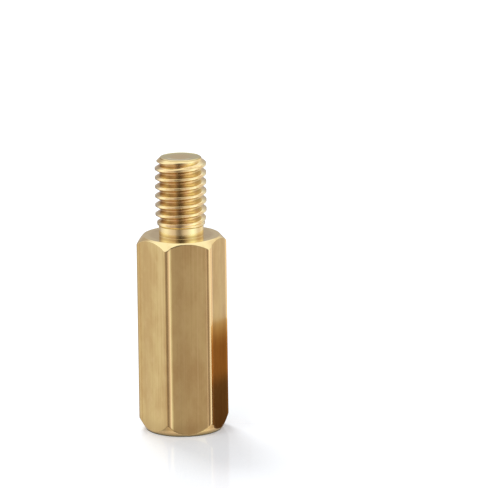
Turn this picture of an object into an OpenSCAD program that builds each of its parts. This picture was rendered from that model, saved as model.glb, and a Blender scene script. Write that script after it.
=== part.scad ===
// Hex standoff: a brass hexagon spacer with a threaded stud on top and a tapped blind hole below.
// It stands on its tapped end. The origin is the middle of that end face, and +Z runs up the stud.

/* [Hexagon body] */
// Width across the flats of the hexagon, mm
across_flats = 6; // [5.5:0.1:8]
// Length of the hexagon from the tapped end face to the shoulder, mm
body_length = 15; // [13:0.5:40]
// Radius on the six long corners, as the bar is drawn, mm
corner_radius = 0.25; // [0.1:0.05:0.6]

/* [End chamfers] */
// How far the round land of each end face stays inside the flats, mm
land_inset = 0.11; // [0.02:0.01:0.2]
// Slope of the shoulder's chamfer, degrees down from the end face
shoulder_chamfer = 48; // [20:1:60]
// Slope of the tapped end's chamfer, degrees up from the end face
base_chamfer = 60; // [20:1:65]

/* [Threaded stud] */
// Diameter over the thread crests, mm
thread_diameter = 3.91; // [3.84:0.01:3.98]
// Distance from one crest to the next, mm
thread_pitch = 0.7; // [0.6:0.05:0.8]
// Depth of the thread from crest to root, mm
thread_depth = 0.4; // [0.3:0.01:0.43]
// Height above the shoulder at which a crest passes the +X side, mm
crest_height = 0.54; // [0:0.02:0.7]
// Height of the stud above the shoulder, mm
stud_length = 6; // [4:0.5:12]
// Diameter of the stud's flat tip, mm
tip_diameter = 3; // [2.6:0.05:3.2]
// Length of the taper that leads the thread in at the tip, mm
tip_taper = 0.45; // [0.4:0.05:1.2]

/* [Neck] */
// Diameter of the plain neck that stands on the shoulder, mm
neck_diameter = 3.36; // [3.2:0.02:3.6]
// Length of the plain neck, mm
neck_length = 0.75; // [0.5:0.05:1]
// Height over which the thread grows to its full depth above the neck, mm
thread_runout = 0.45; // [0.4:0.05:1]

/* [Tapped hole] */
// Bore of the hole inside its thread crests, mm
hole_diameter = 3.3; // [3.2:0.02:3.5]
// Depth of the full bore below the end face, mm
hole_depth = 10; // [6:0.5:11]
// Mouth diameter of the countersink, mm
countersink_diameter = 4.5; // [4:0.1:5]
// Full angle of the countersink, degrees
countersink_angle = 90; // [60:10:120]
// Full angle of the drill point at the bottom, degrees
drill_point_angle = 118; // [90:2:140]

/* [Hidden] */

$fn = 96;
brass = [0.78, 0.62, 0.33];
// Length by which one solid runs into the next, or a cut runs past a face.
overlap = 0.3;

half_flats = across_flats / 2;
corner_seat = (half_flats - corner_radius) / cos(30);
land_radius = half_flats - land_inset;
barrel_radius = half_flats / cos(30) + overlap;
barrel_growth = barrel_radius - land_radius;

crest_radius = thread_diameter / 2;
root_radius = crest_radius - thread_depth;
tip_radius = tip_diameter / 2;
stud_top = body_length + stud_length;
neck_top = body_length + neck_length;
envelope_radius = crest_radius + overlap;
envelope_drop = tip_taper * (envelope_radius - tip_radius) / (crest_radius - tip_radius);

hole_radius = hole_diameter / 2;
countersink_radius = countersink_diameter / 2;
countersink_slope = 1 / tan(countersink_angle / 2);
drill_point_length = hole_radius / tan(drill_point_angle / 2);

// One pitch of the thread's section, from root to root over a crest. Each corner gives its place along
// the axis, in pitches from the middle of the crest, and its height over the root, in thread depths.
section = [[-0.44, 0], [-0.16, 0.86], [-0.07, 1], [0.07, 1], [0.16, 0.86], [0.44, 0]];
corners = len(section);
turn_steps = 48;
last_step = turn_steps - 1;

// The helix starts a whole pitch below the neck's top, while it is still a plain core, and ends above
// the tip.
first_pitch = floor((neck_length - crest_height) / thread_pitch - 1 - section[0][0]);
end_pitch = ceil((stud_length + overlap - crest_height) / thread_pitch - section[0][0]);
last_row = corners * (end_pitch - first_pitch);
foot_z = row_z(0, 0) - overlap;
crown_z = row_z(last_row, turn_steps) + overlap;

// Height of one row of the helix at one step of its turn. Each row follows one corner of the section.
function row_z(row, step) =
    let (pitches = first_pitch + floor(row / corners) + section[row % corners][0] + step / turn_steps)
    body_length + crest_height + thread_pitch * pitches;

// Radius of the same point. The thread is a plain core at the neck's top and grows to full depth above it.
function row_radius(row, step) =
    let (growth = min(1, max(0, (row_z(row, step) - neck_top) / thread_runout)))
    root_radius + thread_depth * section[row % corners][1] * growth;

// Number of that point. After a full turn a row goes on as the row one pitch above it.
function row_point(row, step) =
    step < turn_steps ? row * turn_steps + step : (row + corners) * turn_steps + step - turn_steps;

// A point on a circle round the axis.
function on_circle(radius, step, z) =
    let (angle = 360 * step / turn_steps)
    [radius * cos(angle), radius * sin(angle), z];

// The two triangles of a cell of the surface, its corners named as they are seen from outside.
function cell(lower_left, lower_right, upper_right, upper_left) = [
    [lower_left, upper_left, upper_right],
    [lower_left, upper_right, lower_right]
];

module standoff() {
    color(brass)
    difference() {
        union() {
            hexagon_body();
            neck();
            threaded_stud();
        }
        tapped_hole();
    }
}

// The hexagon bar, with both ends faced and their corners chamfered by turning.
module hexagon_body() {
    intersection() {
        drawn_bar();
        rotate_extrude()
        polygon([
            [0, 0],
            [land_radius, 0],
            [barrel_radius, barrel_growth * tan(base_chamfer)],
            [barrel_radius, body_length - barrel_growth * tan(shoulder_chamfer)],
            [land_radius, body_length],
            [0, body_length]
        ]);
    }
}

// Three slabs crossing at 60 degrees make the flats, and a rod rounds each corner between them. The
// bar runs past both ends of the body, to be faced.
module drawn_bar() {
    bar_length = body_length + 2 * overlap;
    for (side = [0:2])
        rotate([0, 0, 60 * side])
        translate([-corner_seat / 2, -half_flats, -overlap])
        cube([corner_seat, across_flats, bar_length]);
    for (corner = [0:5])
        rotate([0, 0, 60 * corner])
        translate([corner_seat, 0, -overlap])
        cylinder(r = corner_radius, h = bar_length);
}

module neck() {
    translate([0, 0, body_length - overlap])
    cylinder(d = neck_diameter, h = neck_length + overlap);
}

// The thread, cut to length and tapered at its tip.
module threaded_stud() {
    intersection() {
        thread_helix();
        rotate_extrude()
        polygon([
            [0, 0],
            [envelope_radius, 0],
            [envelope_radius, stud_top - envelope_drop],
            [tip_radius, stud_top],
            [0, stud_top]
        ]);
    }
}

// A closed skin of rows that climb a helix between two flat rings. At each full turn a row meets the
// one a pitch above it, so the last cell of each ring fans out over the rows of one pitch.
module thread_helix() {
    foot = row_point(last_row + 1, 0);
    crown = foot + turn_steps;
    ring = [for (step = [0:last_step]) step];

    points = concat(
        [for (row = [0:last_row], step = ring) on_circle(row_radius(row, step), step, row_z(row, step))],
        [for (step = ring) on_circle(root_radius, step, foot_z)],
        [for (step = ring) on_circle(root_radius, step, crown_z)]
    );

    thread = [
        for (row = [0:last_row - 1], step = [0:row < last_row - corners ? last_step : last_step - 1])
            each cell(
                row_point(row, step),
                row_point(row, step + 1),
                row_point(row + 1, step + 1),
                row_point(row + 1, step)
            )
    ];
    foot_wall = [
        for (step = [0:last_step - 1])
            each cell(foot + step, foot + step + 1, row_point(0, step + 1), row_point(0, step))
    ];
    foot_fan = concat(
        cell(foot + last_step, foot, row_point(0, 0), row_point(0, last_step)),
        [for (row = [0:corners - 1]) [row_point(0, last_step), row_point(row + 1, 0), row_point(row, 0)]]
    );
    crown_wall = [
        for (step = [0:last_step - 1])
            each cell(
                row_point(last_row, step),
                row_point(last_row, step + 1),
                crown + step + 1,
                crown + step
            )
    ];
    crown_fan = concat(
        [
            for (row = [last_row - corners:last_row - 1])
                [row_point(row, last_step), row_point(row + 1, last_step), row_point(last_row, 0)]
        ],
        cell(row_point(last_row, last_step), row_point(last_row, 0), crown, crown + last_step)
    );
    foot_face = [[for (step = ring) foot + step]];
    crown_face = [[for (step = ring) crown + last_step - step]];

    polyhedron(
        points = points,
        faces = concat(thread, foot_wall, foot_fan, foot_face, crown_wall, crown_fan, crown_face)
    );
}

// The drilled, countersunk and tapped blind hole, at the bore inside its thread crests.
module tapped_hole() {
    rotate_extrude()
    polygon([
        [0, -overlap],
        [countersink_radius + overlap / countersink_slope, -overlap],
        [hole_radius, (countersink_radius - hole_radius) * countersink_slope],
        [hole_radius, hole_depth],
        [0, hole_depth + drill_point_length]
    ]);
}

standoff();
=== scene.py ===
"""Looks of the hex standoff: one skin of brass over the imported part, and the small studio it stands in.

Lengths are in millimetres until a mesh is filled in, where MM turns them into metres.
"""

import math

import bmesh
import bpy
import numpy as np
from mathutils import Matrix, Vector


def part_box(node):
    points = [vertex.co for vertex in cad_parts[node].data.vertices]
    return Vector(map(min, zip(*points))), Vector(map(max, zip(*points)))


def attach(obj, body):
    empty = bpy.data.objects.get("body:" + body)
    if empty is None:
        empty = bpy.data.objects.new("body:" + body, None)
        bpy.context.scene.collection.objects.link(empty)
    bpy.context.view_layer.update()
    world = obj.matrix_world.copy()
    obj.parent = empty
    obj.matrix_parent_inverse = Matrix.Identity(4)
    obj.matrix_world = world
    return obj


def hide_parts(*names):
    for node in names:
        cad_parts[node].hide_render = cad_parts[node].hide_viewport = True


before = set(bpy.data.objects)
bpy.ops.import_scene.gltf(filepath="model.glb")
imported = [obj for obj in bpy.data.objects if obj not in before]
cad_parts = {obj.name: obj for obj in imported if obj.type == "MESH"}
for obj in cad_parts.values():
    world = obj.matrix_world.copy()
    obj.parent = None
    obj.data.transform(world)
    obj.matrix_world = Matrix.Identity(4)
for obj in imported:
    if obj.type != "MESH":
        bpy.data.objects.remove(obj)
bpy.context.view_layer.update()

MM = 0.001
TAU = 2 * math.pi

# Driving sizes. The width across the flats and the full height are the frame's own.
low_corner, high_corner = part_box("standoff")
HALF_FLATS = (high_corner.y - low_corner.y) / 2 / MM
FULL_HEIGHT = (high_corner.z - low_corner.z) / MM
STUD_LENGTH = 6.0
BODY_LENGTH = FULL_HEIGHT - STUD_LENGTH
SIDES = 6

# The long corners of the drawn bar stand up as low beads, with a shallow hollow on each side. Seen from
# outside, a bead is wider on its right.
CORNER_LEAN = math.radians(22)
LEFT_BEAD = 0.2
LEFT_HOLLOW_LEAN = math.radians(10)
RIGHT_BEAD = 0.41
RIGHT_HOLLOW_LEAN = math.radians(21)
HOLLOW_LENGTH = 0.1
FLAT_CROWN = 0.03

# End faces and their turned chamfers.
LAND_RADIUS = HALF_FLATS - 0.11
SHOULDER_SLOPE = math.tan(math.radians(48))
BASE_SLOPE = math.tan(math.radians(60))

# Stud.
NECK_RADIUS = 1.69
NECK_LENGTH = 0.78
NECK_LIP = 0.05
CREST_RADIUS = 1.94
THREAD_DEPTH = 0.4
THREAD_PITCH = 0.7
# Half widths of the flat crest and of the groove's floor, as shares of the pitch, and the height of a crest's
# middle where the columns begin.
CREST_HALF = 0.12
ROOT_HALF = 0.03
CREST_LEVEL = BODY_LENGTH + 0.58
# Above the neck the crests are low by this much, and reach their full height over the length after it.
CREST_LACK = 0.15
CREST_GROWTH = 0.85
# The groove starts this far above the neck, and reaches its full depth over the length after it.
GROOVE_START = 0.17
GROOVE_GROWTH = 0.25
TIP_RADIUS = 1.5
TIP_TAPER = 0.45
TAPER_SLOPE = (CREST_RADIUS - TIP_RADIUS) / TIP_TAPER
# The tip's edge is broken by a bevel, this wide and this deep, and its face is dished inside a narrow rim.
TIP_BEVEL = 0.1
TIP_DROP = 0.02
TIP_RIM = 0.06
TIP_DISH = 0.02

# Tapped hole.
BORE_RADIUS = 1.65
GROOVE_RADIUS = 2.01
HOLE_DEPTH = 10.0
DRILL_POINT = BORE_RADIUS / math.tan(math.radians(59))
MOUTH_RADIUS = 2.25
TAPPED_DEPTH = 8.6
TAP_RUNOUT = 0.7
# The same for its thread: the groove's floor, the bore left between two grooves, and a groove's height.
GROOVE_HALF = 0.08
LAND_HALF = 0.12
GROOVE_LEVEL = 0.0

# How far the easing of an edge reaches, and the most that it takes of a side.
EDGE_EASE = 0.055
NECK_EASE = 0.03
TIP_EASE = 0.022
MOUTH_EASE = 0.02
DRILL_EASE = 0.05
MOST_OF_SIDE = 0.24
EASE_STEPS = 4

# Steps along the bar's outline and up its flats.
BEAD_STEPS = 8
HOLLOW_STEPS = 4
FLAT_STEPS = 7
FLAT_ROWS = 9

# A thread's corners are rounded over this share of its pitch, and its profile is longer than the pitch by
# this ratio.
SECTION_ROUNDING = 0.03
SECTION_LENGTH = 1.6

# The threads' own rows end on rings. Each stands off from an end by its strip: from the shoulder, the tip,
# the foot and the tap's full depth. Rows nearer to it than a hair gather on it.
NECK_STRIP = 0.16
TAPER_STRIP = 0.1
MOUTH_STRIP = 0.08
BORE_STRIP = 0.05
HAIR = 0.004
STUD_FOOT = (NECK_RADIUS, BODY_LENGTH + NECK_STRIP)
STUD_CROWN = (TIP_RADIUS + TAPER_STRIP * TAPER_SLOPE, FULL_HEIGHT - TAPER_STRIP)
HOLE_FOOT = (MOUTH_RADIUS - MOUTH_STRIP, MOUTH_STRIP)
HOLE_CROWN = (BORE_RADIUS, TAPPED_DEPTH + BORE_STRIP)

# Rings that only divide a face: on the shoulder, round the mouth and on the tip.
LAND_RING = NECK_RADIUS + 0.4
MOUTH_RING = MOUTH_RADIUS + 0.2
TIP_RING = 0.6

# Points nearer to each other than this are one point of the skin.
WELD_REACH = 2e-4

# Finishes of the skin, by their place in its list of materials.
DRAWN, CUT, TAPPED = range(3)


# ---------------------------------------------------------------- the skin's surfaces


def bead_side(width, hollow_lean):
    """One side of a bead, as the way along the flat from its corner and the rise over it.

    It goes along the flat by the cosine of its lean, and outward by its sine. The lean falls evenly from the
    corner's to the hollow's over the width of the bead, and then fades away as half a cosine wave.
    """
    arc = np.linspace(0, 1, BEAD_STEPS + 1)
    fade = np.linspace(0, 1, HOLLOW_STEPS + 1)[1:]
    arc_lean = CORNER_LEAN - (CORNER_LEAN + hollow_lean) * arc
    fade_lean = -hollow_lean * (1 + np.cos(math.pi * fade)) / 2
    lean = np.concatenate([arc_lean, fade_lean])
    step = np.diff(np.concatenate([width * arc, width + HOLLOW_LENGTH * fade]))
    middle_lean = (lean[1:] + lean[:-1]) / 2
    along = np.concatenate([[0], np.cumsum(step * np.cos(middle_lean))])
    rise = np.concatenate([[0], np.cumsum(step * np.sin(middle_lean))])
    return along, rise


def bar_outline():
    """Angle and radius of each column round the axis: one flat between two beads, repeated for each side.

    The flat itself is crowned a little, as a parabola. Its highest place is as far out as the flats of the
    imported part.
    """
    first_along, first_rise = bead_side(RIGHT_BEAD, RIGHT_HOLLOW_LEAN)
    last_along, last_rise = bead_side(LEFT_BEAD, LEFT_HOLLOW_LEAN)
    share = np.linspace(0, 1, FLAT_STEPS + 1)[1:-1]
    crown = 4 * FLAT_CROWN * share * (1 - share)
    flat_rise = first_rise[-1] + share * (last_rise[-1] - first_rise[-1]) + crown
    rise = np.concatenate([first_rise, flat_rise, last_rise[::-1]])
    corner_out = HALF_FLATS - rise.max()
    corner = corner_out * math.tan(math.pi / SIDES)
    start, end = first_along[-1] - corner, corner - last_along[-1]
    flat_along = start + share * (end - start)
    along = np.concatenate([first_along - corner, flat_along, (corner - last_along)[::-1]])
    angle = np.arctan2(along, corner_out + rise)[:-1] + math.pi / SIDES
    radius = np.hypot(along, corner_out + rise)[:-1]
    sector = np.arange(SIDES)[:, None] * TAU / SIDES
    return (sector + angle).ravel(), np.tile(radius, SIDES)


angles, bar_radius = bar_outline()
COLUMNS = len(angles)


def ring(radius, height):
    """One row: a radius and a height for each column."""
    return np.stack(np.broadcast_arrays(radius, height, angles)[:2], axis=-1).astype(float)


def eased(corners, reach=EDGE_EASE):
    """Rows of a profile through the given corners, with its inner corners eased.

    Each inner corner gives way to a parabola that leaves the side before it and joins the side after it at
    the distance reach from the corner, or at MOST_OF_SIDE of a short side. A row at twice that distance on
    each side keeps the sides straight.
    """
    share = np.linspace(0, 1, EASE_STEPS + 1)[:, None, None]
    rows = [corners[0][None]]
    for before, corner, after in zip(corners, corners[1:], corners[2:]):
        back = before - corner
        on = after - corner
        back = back * np.minimum(reach / np.linalg.norm(back, axis=-1, keepdims=True), MOST_OF_SIDE)
        on = on * np.minimum(reach / np.linalg.norm(on, axis=-1, keepdims=True), MOST_OF_SIDE)
        rows.append((corner + 2 * back)[None])
        rows.append(corner + (1 - share) ** 2 * back + share**2 * on)
        rows.append((corner + 2 * on)[None])
    rows.append(corners[-1][None])
    return np.concatenate(rows)


# The row in the middle of the first eased corner, counted from either end of a profile.
EASE_MIDDLE = EASE_STEPS // 2 + 2


def between(lower, upper, count):
    """Rows that divide the way from one row to the next into equal parts, without those two."""
    share = np.linspace(0, 1, count + 2)[1:-1, None, None]
    return lower + share * (upper - lower)


def round_axis(radius, height):
    """Points at a radius and a height in each row and column, at the column's angle round the axis."""
    return np.stack([radius * np.cos(angles), radius * np.sin(angles), height], axis=-1).reshape(-1, 3)


def cell_marks(column, start, end):
    """Coordinates of the tool marks at the four corners of each cell: turns round the axis, and millimetres
    along the profile, so that a line of equal height on them runs as the tool ran.
    """
    turns = np.append(angles, TAU) / TAU
    left, right = turns[column], turns[column + 1]
    corners = ((left, start), (right, start), (right, end), (left, end))
    return np.stack([np.stack(corner, axis=-1) for corner in corners], axis=-2).reshape(-1, 4, 2)


def turned_patch(rows, finish):
    """A profile carried round the axis: the point of row k and column j is at the radius and the height of
    that row, turned by the column's angle. Returns points, faces, the marks' coordinates and the finish.
    """
    steps = np.linalg.norm(np.diff(rows, axis=0), axis=-1).mean(axis=1)
    along = np.concatenate([[0], np.cumsum(steps)])
    k, j = np.meshgrid(np.arange(len(rows) - 1), np.arange(COLUMNS), indexing="ij")
    right = (j + 1) % COLUMNS
    below, above = k * COLUMNS, (k + 1) * COLUMNS
    faces = np.stack([below + j, below + right, above + right, above + j], axis=-1).reshape(-1, 4)
    return round_axis(rows[..., 0], rows[..., 1]), faces, cell_marks(j, along[k], along[k + 1]), finish


def helical_patch(place, section, level, radius_of, foot, crown, finish):
    """Skin of a thread, as rows that climb one pitch in each turn.

    Row k follows the place k of the section, pitch after pitch: its height is the level plus the pitch times
    the sum of whole pitches, place and turns gone. After a full turn it goes on as the row one pitch above.
    Rows that would pass below the foot or above the crown gather there on one ring, which closes the skin.
    """
    count = len(place)
    first = math.floor((foot[1] - level) / THREAD_PITCH - 1 - place[0])
    last = math.ceil((crown[1] - level) / THREAD_PITCH - place[0])
    row = np.arange((last - first) * count + 1)
    pitches = first + row // count + place[row % count]
    height = level + THREAD_PITCH * (pitches[:, None] + angles / TAU)
    radius = radius_of(height, section[row % count][:, None])
    ends = ((foot, height < foot[1] + HAIR), (crown, height > crown[1] - HAIR))
    for (end_radius, end_height), beyond in ends:
        radius[beyond] = end_radius
        height[beyond] = end_height
    k, j = np.meshgrid(row[:-1], np.arange(COLUMNS), indexing="ij")
    right = (j + 1) % COLUMNS
    climb = np.where(right == 0, count, 0)
    right_low = np.minimum(k + climb, row[-1]) * COLUMNS + right
    right_high = np.minimum(k + climb + 1, row[-1]) * COLUMNS + right
    faces = np.stack([k * COLUMNS + j, right_low, right_high, (k + 1) * COLUMNS + j], axis=-1).reshape(-1, 4)
    along = THREAD_PITCH * SECTION_LENGTH * np.append(place + 0.5, 1.0)
    return round_axis(radius, height), faces, cell_marks(j, along[k % count], along[k % count + 1]), finish


def inside_out(patch):
    """The same patch with its faces turned to the other side, as a cavity needs."""
    points, faces, marks, finish = patch
    return points, faces[:, ::-1], marks[:, ::-1], finish


def mirrored(half):
    """Places along one pitch: the given half, from -0.5 to below 0, then 0, then the half turned round."""
    half = np.array(half)
    return np.concatenate([half, [0.0], -half[:0:-1]])


def thread_section(place, half_top, half_foot):
    """Height of a thread's section at each place along a pitch, 1 across its top and 0 across its foot: the
    mean of the straight-sided section over a short way to both sides, which rounds its corners.
    """
    rise = [-half_top, half_top]
    corner_place = [-0.5 - half_foot, half_foot - 0.5, *rise, 0.5 - half_foot, 0.5 + half_foot]
    window = np.linspace(-SECTION_ROUNDING, SECTION_ROUNDING, 9)
    return np.interp(place[:, None] + window, corner_place, [0, 0, 1, 1, 0, 0]).mean(axis=1)


def soft_least(a, b, ease=0.012):
    """The lesser of two lengths, with the change from one to the other rounded over the length ease."""
    return -ease * np.logaddexp(-a / ease, -b / ease)


def soft_most(a, b, ease=0.012):
    """The greater of two lengths, rounded in the same way."""
    return ease * np.logaddexp(a / ease, b / ease)


# ---------------------------------------------------------------- the hexagon body

chamfer_width = bar_radius - LAND_RADIUS
base_crease = ring(bar_radius, chamfer_width * BASE_SLOPE)
shoulder_crease = ring(bar_radius, BODY_LENGTH - chamfer_width * SHOULDER_SLOPE)
middle = ring(bar_radius, BODY_LENGTH / 2)
shoulder_land = ring(LAND_RING, BODY_LENGTH)

mouth = eased([ring(*HOLE_FOOT), ring(MOUTH_RADIUS, 0), ring(MOUTH_RING, 0)], MOUTH_EASE)
lower_end = eased([mouth[-1], ring(LAND_RADIUS, 0), base_crease, middle])
upper_end = eased([middle, shoulder_crease, ring(LAND_RADIUS, BODY_LENGTH), shoulder_land])
neck_foot = eased([shoulder_land, ring(NECK_RADIUS, BODY_LENGTH), ring(*STUD_FOOT)], NECK_EASE)

# The finish changes in the middle of each crease's easing.
base_rows = lower_end[1:-EASE_MIDDLE]
shoulder_rows = upper_end[EASE_MIDDLE:]
flat_rows = np.concatenate(
    [
        lower_end[-EASE_MIDDLE - 1 : -1],
        between(lower_end[-2], upper_end[1], FLAT_ROWS),
        upper_end[1 : EASE_MIDDLE + 1],
    ]
)

# ---------------------------------------------------------------- the threaded stud

# The rows stand closest where the section turns: at the groove's floor and at the crest's edge.
stud_place = mirrored(
    [-0.5, -0.475, -0.45, -0.425, -0.36, -0.28, -0.2, -0.15, -0.13, -0.115, -0.1, -0.08, -0.05]
)
stud_section = thread_section(stud_place, CREST_HALF, ROOT_HALF)


def stud_radius(height, section):
    """Radius of the stud: the crests' radius less what the groove takes, both growing above the neck; the
    neck's own below its top, which a short lip joins; and never more than the taper of the tip.
    """
    over_neck = height - BODY_LENGTH - NECK_LENGTH
    crest = CREST_RADIUS - CREST_LACK * (1 - np.clip(over_neck / CREST_GROWTH, 0, 1))
    groove = THREAD_DEPTH * (1 - section) * np.clip((over_neck - GROOVE_START) / GROOVE_GROWTH, 0, 1)
    lip = np.clip(over_neck / NECK_LIP, 0, 1)
    stud = NECK_RADIUS + lip * (crest - groove - NECK_RADIUS)
    taper = TIP_RADIUS + (FULL_HEIGHT - height) * TAPER_SLOPE
    return soft_least(stud, taper)


tip_corner = TIP_RADIUS + TIP_DROP * TAPER_SLOPE
tip_floor = FULL_HEIGHT - TIP_DISH
tip_pole = ring(0, tip_floor)
tip_edge = eased(
    [
        ring(*STUD_CROWN),
        ring(tip_corner, FULL_HEIGHT - TIP_DROP),
        ring(tip_corner - TIP_BEVEL, FULL_HEIGHT),
        ring(tip_corner - TIP_BEVEL - TIP_RIM, tip_floor),
        ring(TIP_RING, tip_floor),
    ],
    TIP_EASE,
)
tip_rows = np.concatenate([tip_edge, between(tip_edge[-1], tip_pole, 1), tip_pole[None]])

# ---------------------------------------------------------------- the tapped hole

hole_place = mirrored([-0.5, -0.44, -0.38, -0.31, -0.21, -0.12, -0.07])
hole_section = thread_section(hole_place, GROOVE_HALF, LAND_HALF)


def hole_radius(height, section):
    """Radius of the tapped hole: the bore plus the groove, which runs out towards the tap's full depth;
    never less than the cone of the countersink.
    """
    growth = np.clip((TAPPED_DEPTH - height) / TAP_RUNOUT, 0, 1)
    groove = BORE_RADIUS + (GROOVE_RADIUS - BORE_RADIUS) * section * growth
    return soft_most(groove, MOUTH_RADIUS - height)


drill_point = ring(0, HOLE_DEPTH + DRILL_POINT)
hole_end = eased([drill_point, ring(BORE_RADIUS, HOLE_DEPTH), ring(*HOLE_CROWN)], DRILL_EASE)

# ---------------------------------------------------------------- the one skin


def weld_patches(name, patches, materials):
    """One closed mesh from patches that meet at equal rows: points that coincide are merged, so that the
    last column joins the first, gathered rows become one ring, and a row of no radius becomes a pole.
    """
    points, faces, marks, finishes = [], [], [], []
    start = 0
    for patch_points, patch_faces, patch_marks, finish in patches:
        points.append(patch_points)
        faces.append(patch_faces + start)
        marks.append(patch_marks)
        finishes.append(np.full(len(patch_faces), finish))
        start += len(patch_points)
    mesh = bpy.data.meshes.new(name)
    mesh.from_pydata(np.concatenate(points) * MM, [], np.concatenate(faces))
    mesh.polygons.foreach_set("material_index", np.concatenate(finishes))
    uv = mesh.uv_layers.new(name="marks")
    uv.data.foreach_set("uv", np.concatenate(marks).astype(np.float32).ravel())
    for material in materials:
        mesh.materials.append(material)
    skin = bmesh.new()
    skin.from_mesh(mesh)
    bmesh.ops.remove_doubles(skin, verts=skin.verts, dist=WELD_REACH * MM)
    skin.to_mesh(mesh)
    skin.free()
    mesh.shade_smooth()
    skin_object = bpy.data.objects.new(name, mesh)
    bpy.context.scene.collection.objects.link(skin_object)
    return skin_object


# ---------------------------------------------------------------- brass


def add_node(tree, kind, inputs=(), **settings):
    """A node with its settings, whose inputs are given as numbers, colours or other nodes' outputs."""
    node = tree.nodes.new(kind)
    for key, value in settings.items():
        setattr(node, key, value)
    for key, value in dict(inputs).items():
        if isinstance(value, bpy.types.NodeSocket):
            tree.links.new(value, node.inputs[key])
        else:
            node.inputs[key].default_value = value
    return node


def new_material(name):
    """An empty node material and its output node."""
    material = bpy.data.materials.new(name)
    material.use_nodes = True
    material.node_tree.nodes.clear()
    return material, material.node_tree, add_node(material.node_tree, "ShaderNodeOutputMaterial")


def place_in_mm(tree):
    """The place on the piece, in millimetres."""
    place = add_node(tree, "ShaderNodeTexCoord").outputs["Object"]
    return add_node(tree, "ShaderNodeVectorMath", {0: place, "Scale": 1 / MM}, operation="SCALE").outputs[0]


def from_axis(tree, place):
    """Distance from the part's axis and height above its foot."""
    x, y, height = add_node(tree, "ShaderNodeSeparateXYZ", {"Vector": place}).outputs
    flat = add_node(tree, "ShaderNodeCombineXYZ", {"X": x, "Y": y}).outputs[0]
    return add_node(tree, "ShaderNodeVectorMath", {0: flat}, operation="LENGTH").outputs["Value"], height


def tool_marks(tree):
    """Coordinates that follow the tool marks: turns round the axis, and millimetres along the profile."""
    return add_node(tree, "ShaderNodeUVMap", uv_map="marks").outputs[0]


def facing(tree):
    """The way that the surface faces."""
    return add_node(tree, "ShaderNodeTexCoord").outputs["Normal"]


def dot(tree, vector, direction):
    """How far a vector goes in a direction."""
    both = {0: vector, 1: direction}
    return add_node(tree, "ShaderNodeVectorMath", both, operation="DOT_PRODUCT").outputs["Value"]


def maths(tree, operation, *values):
    """The result of one Math node."""
    return add_node(tree, "ShaderNodeMath", dict(enumerate(values)), operation=operation).outputs[0]


def product(tree, first, second):
    """Two values multiplied."""
    return maths(tree, "MULTIPLY", first, second)


def noise(tree, vector, scale, detail=2.0, roughness=0.5):
    """Noise of so many cells for each unit of the vector, as its factor from 0 to 1."""
    stretched = add_node(tree, "ShaderNodeMapping", {"Vector": vector, "Scale": scale})
    return add_node(
        tree,
        "ShaderNodeTexNoise",
        {"Vector": stretched.outputs[0], "Scale": 1.0, "Detail": detail, "Roughness": roughness},
    ).outputs["Fac"]


def spread(tree, value, low, high, start=0.0, end=1.0):
    """A value from low to high taken to start to end, and held there beyond."""
    return add_node(
        tree,
        "ShaderNodeMapRange",
        {"Value": value, "From Min": low, "From Max": high, "To Min": start, "To Max": end},
        interpolation_type="SMOOTHSTEP",
    ).outputs["Result"]


def close_to(tree, value, centre, reach, full, end=1.0):
    """A soft line where a value passes its centre: 0 beyond the distance reach, and end within full."""
    away = maths(tree, "ABSOLUTE", maths(tree, "SUBTRACT", value, centre))
    return spread(tree, away, reach, full, 0.0, end)


def blended(tree, factor, a, b, blend_type="MIX"):
    """Colour a going over to colour b by the factor, or multiplied by it."""
    mix = tree.nodes.new("ShaderNodeMix")
    mix.data_type = "RGBA"
    mix.blend_type = blend_type
    sockets = {s.identifier: s for s in mix.inputs}
    for key, value in (("Factor_Float", factor), ("A_Color", a), ("B_Color", b)):
        if isinstance(value, bpy.types.NodeSocket):
            tree.links.new(value, sockets[key])
        else:
            sockets[key].default_value = value
    return {s.identifier: s for s in mix.outputs}["Result_Color"]


FRESH_BRASS = (0.90, 0.77, 0.42, 1)
THREAD_BRASS = (0.94, 0.77, 0.41, 1)
GROOVE_BRASS = (0.95, 0.77, 0.44, 1)
PARTED_BRASS = (0.76, 0.72, 0.38, 1)
CENTRE_BRASS = (0.80, 0.64, 0.31, 1)
SICKLE_HIGHLIGHT_BRASS = (1.0, 0.95, 0.66, 1)
LIP_SHADE_BRASS = (0.54, 0.46, 0.31, 1)
WORN_BRASS = (0.66, 0.50, 0.25, 1)
DRAWN_BRASS = (0.62, 0.475, 0.215, 1)
DULL_BRASS = (0.52, 0.36, 0.155, 1)
STAIN_AND_SHADE_BRASS = (0.33, 0.21, 0.08, 1)
CORNER_HIGHLIGHT_BRASS = (0.94, 0.71, 0.38, 1)

# Tints on the thread, by what they leave of its colour: a pink film, a painted brown shade in the grooves on
# one side and a deeper painted shade, a painted pale sheen on the crests, and a painted grey reflection in
# the grooves on the other side.
PINK_FILM = (1.0, 0.9, 1.08, 1)
BROWN_SHADE = (0.76, 0.72, 0.68, 1)
DEEP_SHADE = (0.86, 0.78, 0.64, 1)
PALE_SHEEN = (0.87, 1.0, 1.22, 1)
GREY_REFLECTION = (0.82, 0.88, 0.92, 1)

# Sides of the part, as directions: where its long corners carry a painted highlight, where the tip carries a
# painted highlight on its rim and as a light sickle, where the thread's grooves carry a painted brown shade,
# and where they carry a painted grey reflection, with a painted pale sheen on the crests on both sides.
CORNER_HIGHLIGHT_SIDE = (0.78, -0.63, 0.0)
HIGHLIGHT_SIDE = (-0.36, -0.93, 0.0)
SHADE_SIDE = (-0.97, -0.24, 0.0)
REFLECTION_SIDE = (0.987, -0.158, 0.0)

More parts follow.
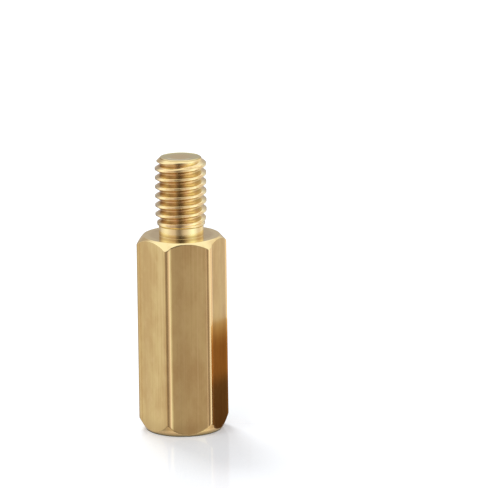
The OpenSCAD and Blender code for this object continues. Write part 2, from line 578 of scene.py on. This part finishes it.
# Where the finishes change: the radii between which a long corner's painted highlight grows, those of the
# edge of the tip's face, the painted highlight sickle on it and the dark line on its bevel, and the height of
# the neck's top.
CORNER_HIGHLIGHT_START = bar_radius.max() - 0.17
CORNER_HIGHLIGHT_FULL = bar_radius.max() - 0.13
TIP_FACE_EDGE = tip_corner - TIP_BEVEL
SICKLE_HIGHLIGHT_RADIUS = 1.02
TIP_LINE_RADIUS = tip_corner + 0.03
NECK_TOP = BODY_LENGTH + NECK_LENGTH


def brass_shader(tree, output, tone, roughness, bump, anisotropy, turn):
    """Bare metal whose gloss is drawn out across the marks on it: along the circumference where they run
    along the part, or along the profile, a quarter turn on, where they run round it.
    """
    tangent = add_node(tree, "ShaderNodeTangent", direction_type="UV_MAP", uv_map="marks")
    shader = add_node(
        tree,
        "ShaderNodeBsdfPrincipled",
        {
            "Base Color": tone,
            "Metallic": 1.0,
            "Roughness": roughness,
            "Anisotropic": anisotropy,
            "Anisotropic Rotation": turn,
            "Normal": bump,
            "Tangent": tangent.outputs[0],
        },
    )
    tree.links.new(shader.outputs[0], output.inputs["Surface"])


def drawn_brass():
    """The bar's own skin: draw lines along its length, stronger on the right of each flat, an uneven tone
    with faint stains, painted shade that darkens it by the foot, and a painted highlight on the long corners
    on one side of the bar, where they are also a little smoother.
    """
    material, tree, output = new_material("drawn_brass")
    place = place_in_mm(tree)
    radius, height = from_axis(tree, place)
    fine = noise(tree, place, (16, 16, 0.12), 3.0, 0.6)
    lines = noise(tree, place, (7, 7, 0.05), 3.0, 0.65)
    cloud = noise(tree, place, (0.55, 0.55, 0.3), 4.0, 0.6)
    blotch = noise(tree, place, (1.6, 1.6, 0.9), 3.0, 0.6)
    tone = blended(tree, spread(tree, cloud, 0.32, 0.68), DRAWN_BRASS, DULL_BRASS)
    tone = blended(tree, spread(tree, blotch, 0.5, 0.75, 0.0, 0.35), tone, WORN_BRASS)
    turns = add_node(tree, "ShaderNodeSeparateXYZ", {"Vector": tool_marks(tree)}).outputs["X"]
    across_flat = maths(tree, "FRACT", product(tree, turns, SIDES))
    lined = spread(tree, across_flat, 0.45, 0.75, 0.3, 1.0)
    light_lines = product(tree, spread(tree, lines, 0.5, 0.66, 0.0, 0.65), lined)
    dark_lines = product(tree, spread(tree, lines, 0.46, 0.28, 0.0, 0.4), lined)
    tone = blended(tree, light_lines, tone, WORN_BRASS)
    tone = blended(tree, dark_lines, tone, STAIN_AND_SHADE_BRASS)
    # Painted shade: darker towards the foot, near the floor.
    tone = blended(tree, spread(tree, height, 1.5, 0.5, 0.0, 0.3), tone, STAIN_AND_SHADE_BRASS)
    # Painted highlight: the long corners facing one side are lighter, and a little smoother there.
    highlight_side = spread(tree, dot(tree, facing(tree), CORNER_HIGHLIGHT_SIDE), 0.45, 0.8)
    highlight_and_polish = product(tree, spread(tree, radius, CORNER_HIGHLIGHT_START, CORNER_HIGHLIGHT_FULL, 0.0, 0.9), highlight_side)
    tone = blended(tree, highlight_and_polish, tone, CORNER_HIGHLIGHT_BRASS)
    roughness = maths(tree, "MULTIPLY_ADD", fine, 0.14, 0.24)
    roughness = maths(tree, "SUBTRACT", roughness, product(tree, highlight_and_polish, 0.14))
    relief = maths(tree, "MULTIPLY_ADD", lines, 0.6, fine)
    bump = add_node(tree, "ShaderNodeBump", {"Strength": 0.6, "Distance": 0.005 * MM, "Height": relief})
    brass_shader(tree, output, tone, roughness, bump.outputs[0], 0.6, 0.0)
    return material


def tip_tone(tree, place, radius):
    """The tip's face: a browner middle, and on one side a painted highlight: a bright rim and a light sickle.
    """
    tone = blended(tree, spread(tree, radius, 0.5, 1.2), CENTRE_BRASS, PARTED_BRASS)
    # Painted highlight on one side of the tip: a bright rim and a light sickle.
    bright_side = spread(tree, maths(tree, "DIVIDE", dot(tree, place, HIGHLIGHT_SIDE), radius), 0.35, 0.8)
    rim_highlight = product(tree, spread(tree, radius, TIP_FACE_EDGE - 0.04, TIP_FACE_EDGE), bright_side)
    tone = blended(tree, rim_highlight, tone, FRESH_BRASS)
    sickle_highlight = product(tree, close_to(tree, radius, SICKLE_HIGHLIGHT_RADIUS, 0.24, 0.06), bright_side)
    return blended(tree, sickle_highlight, tone, SICKLE_HIGHLIGHT_BRASS)


def thread_tone(tree, place, marks, radius):
    """The thread: streaks round the stud, pinkish spots, painted shade on what faces down, grooves with a
    painted brown shade on one side and a painted grey reflection on the other, and crests with a painted pale
    sheen on both of those sides.
    """
    crest_spots = spread(tree, noise(tree, place, (5, 5, 5)), 0.45, 0.75, 0.0, 0.4)
    in_groove = spread(tree, radius, CREST_RADIUS - 0.08, CREST_RADIUS - 0.28)
    on_crest = maths(tree, "SUBTRACT", 1.0, in_groove)
    tone = blended(tree, in_groove, blended(tree, crest_spots, THREAD_BRASS, DRAWN_BRASS), GROOVE_BRASS)
    streaks = noise(tree, marks, (7, 7, 1), 4.0, 0.75)
    tone = blended(tree, spread(tree, streaks, 0.50, 0.64, 0.0, 0.7), tone, DULL_BRASS)
    pink_spots = noise(tree, place, (2.5, 2.5, 2.5))
    tone = blended(tree, spread(tree, pink_spots, 0.45, 0.62, 0.0, 0.4), tone, PINK_FILM, "MULTIPLY")
    # Painted shade on what faces down, under the crests.
    facing_up = add_node(tree, "ShaderNodeSeparateXYZ", {"Vector": facing(tree)}).outputs["Z"]
    tone = blended(tree, spread(tree, facing_up, -0.5, -0.85, 0.0, 0.3), tone, STAIN_AND_SHADE_BRASS)
    # Painted shade: the grooves on one side are browner, and browner still where they face it most.
    to_brown = maths(tree, "DIVIDE", dot(tree, place, SHADE_SIDE), radius)
    brown = product(tree, spread(tree, to_brown, 0.5, 0.9), in_groove)
    tone = blended(tree, brown, tone, BROWN_SHADE, "MULTIPLY")
    deep = product(tree, spread(tree, to_brown, 0.90, 0.99), in_groove)
    tone = blended(tree, deep, tone, DEEP_SHADE, "MULTIPLY")
    # Painted reflection: a pale sheen on the crests at both sides, and a grey reflection in the grooves on
    # one of them.
    to_grey = maths(tree, "DIVIDE", dot(tree, place, REFLECTION_SIDE), radius)
    pale = product(tree, spread(tree, maths(tree, "ABSOLUTE", to_grey), 0.76, 0.92), on_crest)
    pale = product(tree, pale, spread(tree, radius, CREST_RADIUS - 0.34, CREST_RADIUS - 0.14))
    tone = blended(tree, pale, tone, PALE_SHEEN, "MULTIPLY")
    grey = product(tree, spread(tree, to_grey, 0.5, 0.85), in_groove)
    return blended(tree, grey, tone, GREY_REFLECTION, "MULTIPLY")


def cut_brass():
    """The turned end: fine marks round the axis, painted shade on the shoulder by the neck, a painted dark
    line of shade at the lip where the thread begins, the thread's own tone, a dark line round the tip's bevel
    and the tip's own tone.
    """
    material, tree, output = new_material("cut_brass")
    place = place_in_mm(tree)
    marks = tool_marks(tree)
    radius, height = from_axis(tree, place)
    fine = noise(tree, marks, (2, 22, 1), 3.0, 0.6)
    cloud = noise(tree, place, (1.1, 1.1, 1.1), 3.0)
    tone = blended(tree, spread(tree, cloud, 0.45, 0.75, 0.0, 0.5), FRESH_BRASS, WORN_BRASS)
    on_tip = spread(tree, height, FULL_HEIGHT - 0.1, FULL_HEIGHT - 0.04)
    tone = blended(tree, on_tip, tone, tip_tone(tree, place, radius))
    # Painted shade: a dark line at the lip where the thread begins.
    tone = blended(tree, close_to(tree, height, NECK_TOP + 0.02, 0.07, 0.03, 0.9), tone, LIP_SHADE_BRASS)
    # Painted shade on the shoulder by the neck.
    on_shoulder = spread(tree, height, BODY_LENGTH + 0.3, BODY_LENGTH + 0.1)
    by_neck = spread(tree, radius, NECK_RADIUS + 0.91, NECK_RADIUS + 0.51, 0.0, 0.4)
    tone = blended(tree, product(tree, by_neck, on_shoulder), tone, DULL_BRASS)
    round_tip = spread(tree, height, FULL_HEIGHT - 0.12, FULL_HEIGHT - 0.08)
    tip_line = product(tree, close_to(tree, radius, TIP_LINE_RADIUS, 0.035, 0.015, 0.6), round_tip)
    tone = blended(tree, tip_line, tone, STAIN_AND_SHADE_BRASS)
    over_neck = spread(tree, height, NECK_TOP + 0.02, NECK_TOP + 0.08)
    under_tip = spread(tree, height, FULL_HEIGHT - 0.22, FULL_HEIGHT - 0.4)
    on_thread = product(tree, over_neck, under_tip)
    tone = blended(tree, on_thread, tone, thread_tone(tree, place, marks, radius))
    roughness = maths(tree, "MULTIPLY_ADD", fine, 0.1, 0.06)
    bump = add_node(tree, "ShaderNodeBump", {"Strength": 0.5, "Distance": 0.005 * MM, "Height": fine})
    brass_shader(tree, output, tone, roughness, bump.outputs[0], 0.4, 0.25)
    return material


def tapped_brass():
    """The tapped end: turned like the other, but left duller, with the grooves of the tap darkest."""
    material, tree, output = new_material("tapped_brass")
    place = place_in_mm(tree)
    marks = tool_marks(tree)
    radius, height = from_axis(tree, place)
    fine = noise(tree, marks, (2, 18, 1), 3.0, 0.6)
    cloud = noise(tree, place, (0.9, 0.9, 0.9), 3.0)
    tone = blended(tree, spread(tree, cloud, 0.4, 0.7), WORN_BRASS, DRAWN_BRASS)
    inside = spread(tree, height, 0.4, 0.6)
    in_groove = spread(tree, radius, BORE_RADIUS + 0.07, GROOVE_RADIUS - 0.06)
    tone = blended(tree, product(tree, in_groove, inside), tone, DULL_BRASS)
    roughness = maths(tree, "MULTIPLY_ADD", fine, 0.14, 0.16)
    bump = add_node(tree, "ShaderNodeBump", {"Strength": 0.5, "Distance": 0.004 * MM, "Height": fine})
    brass_shader(tree, output, tone, roughness, bump.outputs[0], 0.5, 0.25)
    return material


standoff = weld_patches(
    "brass_standoff",
    [
        turned_patch(hole_end, TAPPED),
        inside_out(
            helical_patch(hole_place, hole_section, GROOVE_LEVEL, hole_radius, HOLE_FOOT, HOLE_CROWN, TAPPED)
        ),
        turned_patch(np.concatenate([mouth, base_rows]), TAPPED),
        turned_patch(flat_rows, DRAWN),
        turned_patch(np.concatenate([shoulder_rows, neck_foot[1:]]), CUT),
        helical_patch(stud_place, stud_section, CREST_LEVEL, stud_radius, STUD_FOOT, STUD_CROWN, CUT),
        turned_patch(tip_rows, CUT),
    ],
    [drawn_brass(), cut_brass(), tapped_brass()],
)
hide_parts("standoff")
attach(standoff, "root")

# ---------------------------------------------------------------- the camera

CAMERA_TURN = math.radians(9.07)
CAMERA_LIFT = math.radians(13.53)
CAMERA_ROLL = math.radians(-0.69)
CAMERA_DISTANCE = 391.07
AIM_HEIGHT = 14.194
AIM_RIGHT = 4.7
LENS = 383.6
SENSOR = 36


def aim_camera():
    """A long lens, rolled a little, on a point to the right of the part."""
    right = Vector((math.cos(CAMERA_TURN), -math.sin(CAMERA_TURN), 0))
    back = Vector(
        (
            -math.sin(CAMERA_TURN) * math.cos(CAMERA_LIFT),
            -math.cos(CAMERA_TURN) * math.cos(CAMERA_LIFT),
            math.sin(CAMERA_LIFT),
        )
    )
    up = back.cross(right)
    rolled_right = right * math.cos(CAMERA_ROLL) + up * math.sin(CAMERA_ROLL)
    rolled_up = up * math.cos(CAMERA_ROLL) - right * math.sin(CAMERA_ROLL)
    aim = Vector((0, 0, AIM_HEIGHT)) + AIM_RIGHT * right
    lens = bpy.data.cameras.new("camera")
    lens.lens = LENS
    lens.sensor_width = SENSOR
    camera = bpy.data.objects.new("camera", lens)
    turn = Matrix((rolled_right, rolled_up, back)).transposed().to_4x4()
    camera.matrix_world = Matrix.Translation((aim + CAMERA_DISTANCE * back) * MM) @ turn
    bpy.context.scene.collection.objects.link(camera)
    bpy.context.scene.camera = camera


aim_camera()

# ---------------------------------------------------------------- the studio


def sheet_mesh(name, points, material):
    """A stage object over a grid of points, given as rows of columns, in millimetres."""
    rows, columns = points.shape[:2]
    k, j = np.meshgrid(np.arange(rows - 1), np.arange(columns - 1), indexing="ij")
    corner = k * columns + j
    faces = np.stack([corner, corner + 1, corner + columns + 1, corner + columns], axis=-1).reshape(-1, 4)
    mesh = bpy.data.meshes.new(name)
    mesh.from_pydata(points.reshape(-1, 3) * MM, [], faces)
    mesh.materials.append(material)
    mesh.shade_smooth()
    sheet = bpy.data.objects.new(name, mesh)
    bpy.context.scene.collection.objects.link(sheet)
    return sheet


def seen_rays(tree):
    """1 for rays of the camera, of gloss and of glass, and 0 for the rest."""
    path = add_node(tree, "ShaderNodeLightPath")
    some = maths(tree, "MAXIMUM", path.outputs["Is Camera Ray"], path.outputs["Is Glossy Ray"])
    return maths(tree, "MAXIMUM", some, path.outputs["Is Transmission Ray"])


def clear_from_behind(tree, shader):
    """The shader on the front of a sheet, and nothing on its back."""
    clear = add_node(tree, "ShaderNodeBsdfTransparent").outputs[0]
    behind = add_node(tree, "ShaderNodeNewGeometry").outputs["Backfacing"]
    return add_node(tree, "ShaderNodeMixShader", {0: behind, 1: shader, 2: clear}).outputs[0]


# The room round the part, seen only in its gloss. Bearings are in degrees to the right of the side where the
# camera stands, lifts in degrees above level.
ROOM_RADIUS = 600.0
CAMERA_SIDE = 270 - math.degrees(CAMERA_TURN)
WALL_LIGHT = (0.80, 0.66, 0.62)
CEILING_LIGHT = (1.16, 1.12, 1.08)
GROUND_LIGHT = (0.68, 0.60, 0.56)
FAR_LIGHT = (0.53, 0.48, 0.46)
# Soft panels on the wall, each with its bearing, half width and the light that it adds. The low one shines
# low down alone, and the ground has patches of its own.
LEFT_PANEL = (-92, 28, (0.40, 0.54, 0.57))
RIGHT_PANEL = (62, 26, (0.42, 0.64, 0.66))
FILL_PANEL = (136, 22, (0.24, 0.28, 0.20))
LOW_PANEL = (92, 22, 0.75)
GROUND_PATCHES = ((-60, 34, 0.45), (66, 24, 0.4))
# Darker places, each with its bearing, half width and the share of the light that it takes: the gap that
# the camera looks through, one that is dark from SIDE_RISE up, one that is dark above eye level and low
# down, and one that is dark low down alone.
CAMERA_GAP = (-8.5, 19, 0.67)
SIDE_GAP = (-146, 22, 0.4)
DEEP_GAP = (6, 24, 0.7)
LOW_GAP = (-80, 45, 0.6)
FAR_WALL = (180, 30)
# Lifts between which one light goes over to the next, and depths below level in the two falls. The ceiling
# starts lower over the far side, by its bearing, half width and drop, and higher over the camera's gap.
SIDE_RISE = (-36, -22)
LEVEL_RISE = (-6, 6)
LOW_FALL = (20, 42)
GROUND_FALL = (54, 66)
CEILING_RISE = (35, 52)
CEILING_FAR_DROP = (180, 40, 14)
CEILING_GAP_RISE = 20


def swell(bearing, centre, width):
    """A bell curve of the bearing, e to the power of minus the square of its distance from the centre in
    widths: 1 at the centre, and next to nothing two widths away.
    """
    away = (bearing - centre + 180) % 360 - 180
    return np.exp(-((away / width) ** 2))[..., None]


def ramp(value, low, high):
    """0 below low, 1 above high, and a smooth rise between."""
    share = np.clip((value - low) / (high - low), 0, 1)
    return (share * share * (3 - 2 * share))[..., None]


def dimmed(light, bearing, gap, where=1.0):
    """The light less the share that a darker place takes of it, at the lifts where it is dark."""
    centre, width, share = gap
    return light * (1 - share * where * swell(bearing, centre, width))


def room_light(bearing, lift):
    """Colour of the room at each bearing and lift: the wall with its panels, less what the darker places
    take, and the far wall; above it the ceiling's light, and below it the ground's.
    """
    low = ramp(-lift, *LOW_FALL)
    light = np.array(WALL_LIGHT) + np.zeros(bearing.shape + (3,))
    for centre, width, gain in (LEFT_PANEL, RIGHT_PANEL, FILL_PANEL):
        light = light + np.array(gain) * swell(bearing, centre, width)
    light = dimmed(light, bearing, CAMERA_GAP)
    light = dimmed(light, bearing, SIDE_GAP, ramp(lift, *SIDE_RISE))
    light = dimmed(light, bearing, DEEP_GAP, low + ramp(lift, *LEVEL_RISE))
    light = dimmed(light, bearing, LOW_GAP, low)
    centre, width, gain = LOW_PANEL
    light = light + gain * low * swell(bearing, centre, width)
    light = light + swell(bearing, *FAR_WALL) * (np.array(FAR_LIGHT) - light)
    centre, width, drop = CEILING_FAR_DROP
    drop = drop * swell(bearing, centre, width) - CEILING_GAP_RISE * swell(bearing, *CAMERA_GAP[:2])
    light = light + ramp(lift + drop[..., 0], *CEILING_RISE) * (np.array(CEILING_LIGHT) - light)
    patches = sum(gain * swell(bearing, centre, width) for centre, width, gain in GROUND_PATCHES)
    return light + ramp(-lift, *GROUND_FALL) * (np.array(GROUND_LIGHT) + patches - light)


def glow_material(name):
    """A material that shows the colours stored at its sheet's points, and lights nothing by itself. It is
    clear from behind.
    """
    material, tree, output = new_material(name)
    material.cycles.emission_sampling = "NONE"
    colour = add_node(tree, "ShaderNodeAttribute", attribute_name="glow").outputs["Color"]
    glow = add_node(tree, "ShaderNodeEmission", {"Color": colour, "Strength": 1.0})
    tree.links.new(clear_from_behind(tree, glow.outputs[0]), output.inputs["Surface"])
    return material


def glow_sheet(name, points, colours):
    """A stage object that shows a colour at each point to gloss alone, and neither shades nor lights."""
    sheet = sheet_mesh(name, points, glow_material(name))
    glow = sheet.data.attributes.new("glow", "FLOAT_COLOR", "POINT")
    opaque = np.ones(colours.shape[:-1] + (1,))
    glow.data.foreach_set("color", np.concatenate([colours, opaque], axis=-1).astype(np.float32).ravel())
    for ray in ("camera", "diffuse", "transmission", "volume_scatter", "shadow"):
        setattr(sheet, "visible_" + ray, False)


def studio_room():
    """The room as a ball: bearings run clockwise seen from above, from the side where the camera stands."""
    bearing, lift = np.meshgrid(np.linspace(-180, 180, 121), np.linspace(90, -90, 61))
    turn = np.radians(CAMERA_SIDE + bearing)
    rise = np.radians(lift)
    ball = np.stack([np.cos(rise) * np.cos(turn), np.cos(rise) * np.sin(turn), np.sin(rise)], axis=-1)
    glow_sheet("studio_room", ROOM_RADIUS * ball, room_light(bearing, lift))


# The card stands this far to the right of the part's axis, and reaches back and forward past it.
CARD_DISTANCE = 5.0
CARD_ENDS = (12.0, -4.0)
CARD_BOTTOM = -2.6
CARD_TOP = 7.8
CARD_BROWNS = ((0.165, 0.085, 0.032), (0.375, 0.17, 0.048), (0.74, 0.53, 0.29))
CARD_MIDDLE_RISE = (2.5, 3.9)
CARD_LIGHT_RISE = (5.6, 7.9)


def neighbour_card():
    """A low brown card beside the part's right flats, which they mirror over their lower half: deep brown
    near the floor, then a middle one, then a light one, each going over to the next by equal ratios.
    """
    along, z = np.meshgrid(np.array(CARD_ENDS), np.linspace(CARD_BOTTOM, CARD_TOP, 48))
    deep, brown, light = np.array(CARD_BROWNS)
    colours = deep * (brown / deep) ** ramp(z, *CARD_MIDDLE_RISE)
    colours = colours * (light / brown) ** ramp(z, *CARD_LIGHT_RISE)
    x = CARD_DISTANCE * math.cos(CAMERA_TURN) + along * math.sin(CAMERA_TURN)
    y = along * math.cos(CAMERA_TURN) - CARD_DISTANCE * math.sin(CAMERA_TURN)
    glow_sheet("neighbour_card", np.stack([x, y, z], axis=-1), colours)


FLOOR_GAP = 0.003
# Rings of the contact line, from under the foot's land outward, and its light: that of its dark part,
# what it gains from the second ring to the third, and what it gains from there outward.
CONTACT_RADII = tuple(LAND_RADIUS + step for step in (-0.09, 0.04, 0.08, 0.16, 0.31))
CONTACT_DARK = 0.1
CONTACT_EDGE = 0.25
CONTACT_RISE = (0.65, 0.48, 0.42)


def contact_card():
    """Painted contact shadow: the dark line where the part meets the floor, as the edge of its foot mirrors
    it: a flat ring just under the floor, nearly black under the foot, and lighter and warmer outward.
    """
    radius, turn = np.meshgrid(np.array(CONTACT_RADII), np.linspace(TAU, 0, 97), indexing="ij")
    level = np.full_like(turn, -2 * FLOOR_GAP)
    points = np.stack([radius * np.cos(turn), radius * np.sin(turn), level], axis=-1)
    _, dark_end, edge, _, end = CONTACT_RADII
    colours = CONTACT_DARK + CONTACT_EDGE * ramp(radius, dark_end, edge)
    colours = colours + np.array(CONTACT_RISE) * ramp(radius, edge, end)
    glow_sheet("contact_card", points, colours)


FLOOR_REACH = 2000.0
FLOOR_COLOUR = (0.76, 0.79, 0.83, 1)
FLOOR_LIFT = 0.26
WHITE = (1, 1, 1, 1)


def pale_floor():
    """A plain pale floor, lifted to white where nothing shades it; clear from below. It is a little glossy
    in front of the part and matt behind it.
    """
    material, tree, output = new_material("pale_floor")
    front = (-math.sin(CAMERA_TURN), -math.cos(CAMERA_TURN), 0)
    roughness = spread(tree, dot(tree, place_in_mm(tree), front), -3.5, 0.5, 0.7, 0.1)
    matt = add_node(
        tree,
        "ShaderNodeBsdfPrincipled",
        {"Base Color": FLOOR_COLOUR, "Roughness": roughness, "Specular IOR Level": 0.2},
    )
    strength = product(tree, seen_rays(tree), FLOOR_LIFT)
    lift = add_node(tree, "ShaderNodeEmission", {"Color": WHITE, "Strength": strength})
    both = add_node(tree, "ShaderNodeAddShader", {0: matt.outputs[0], 1: lift.outputs[0]})
    tree.links.new(clear_from_behind(tree, both.outputs[0]), output.inputs["Surface"])
    x, y = np.meshgrid([-FLOOR_REACH, FLOOR_REACH], [-FLOOR_REACH, FLOOR_REACH])
    floor = sheet_mesh("floor", np.stack([x, y, np.full_like(x, -FLOOR_GAP)], axis=-1), material)
    floor.visible_glossy = False
    floor.visible_shadow = False


LAMP_AIM = 10.0
WORLD_FILL = 0.6


def lamp(name, place, size, power):
    """A soft square lamp aimed at the part's middle, which gloss doesn't see."""
    light = bpy.data.lights.new(name, "AREA")
    light.size = size * MM
    light.energy = power
    lamp_object = bpy.data.objects.new(name, light)
    position = Vector(place) * MM
    lamp_object.location = position
    from_aim = position - Vector((0, 0, LAMP_AIM)) * MM
    lamp_object.rotation_euler = from_aim.to_track_quat("Z", "Y").to_euler()
    lamp_object.visible_glossy = False
    bpy.context.scene.collection.objects.link(lamp_object)


def white_world():
    """White to the eye, to gloss and to glass, and a plain soft fill for the rest."""
    world = bpy.data.worlds.new("studio")
    world.use_nodes = True
    tree = world.node_tree
    tree.nodes.clear()
    strength = maths(tree, "MULTIPLY_ADD", seen_rays(tree), 1 - WORLD_FILL, WORLD_FILL)
    glow = add_node(tree, "ShaderNodeBackground", {"Color": WHITE, "Strength": strength})
    output = add_node(tree, "ShaderNodeOutputWorld")
    tree.links.new(glow.outputs[0], output.inputs["Surface"])
    bpy.context.scene.world = world


white_world()
pale_floor()
studio_room()
neighbour_card()
contact_card()
lamp("key_lamp", (-180, -160, 420), size=260, power=0.5)
lamp("back_lamp", (-34, 187, 300), size=100, power=0.6)

bpy.context.scene.view_settings.view_transform = "Standard"
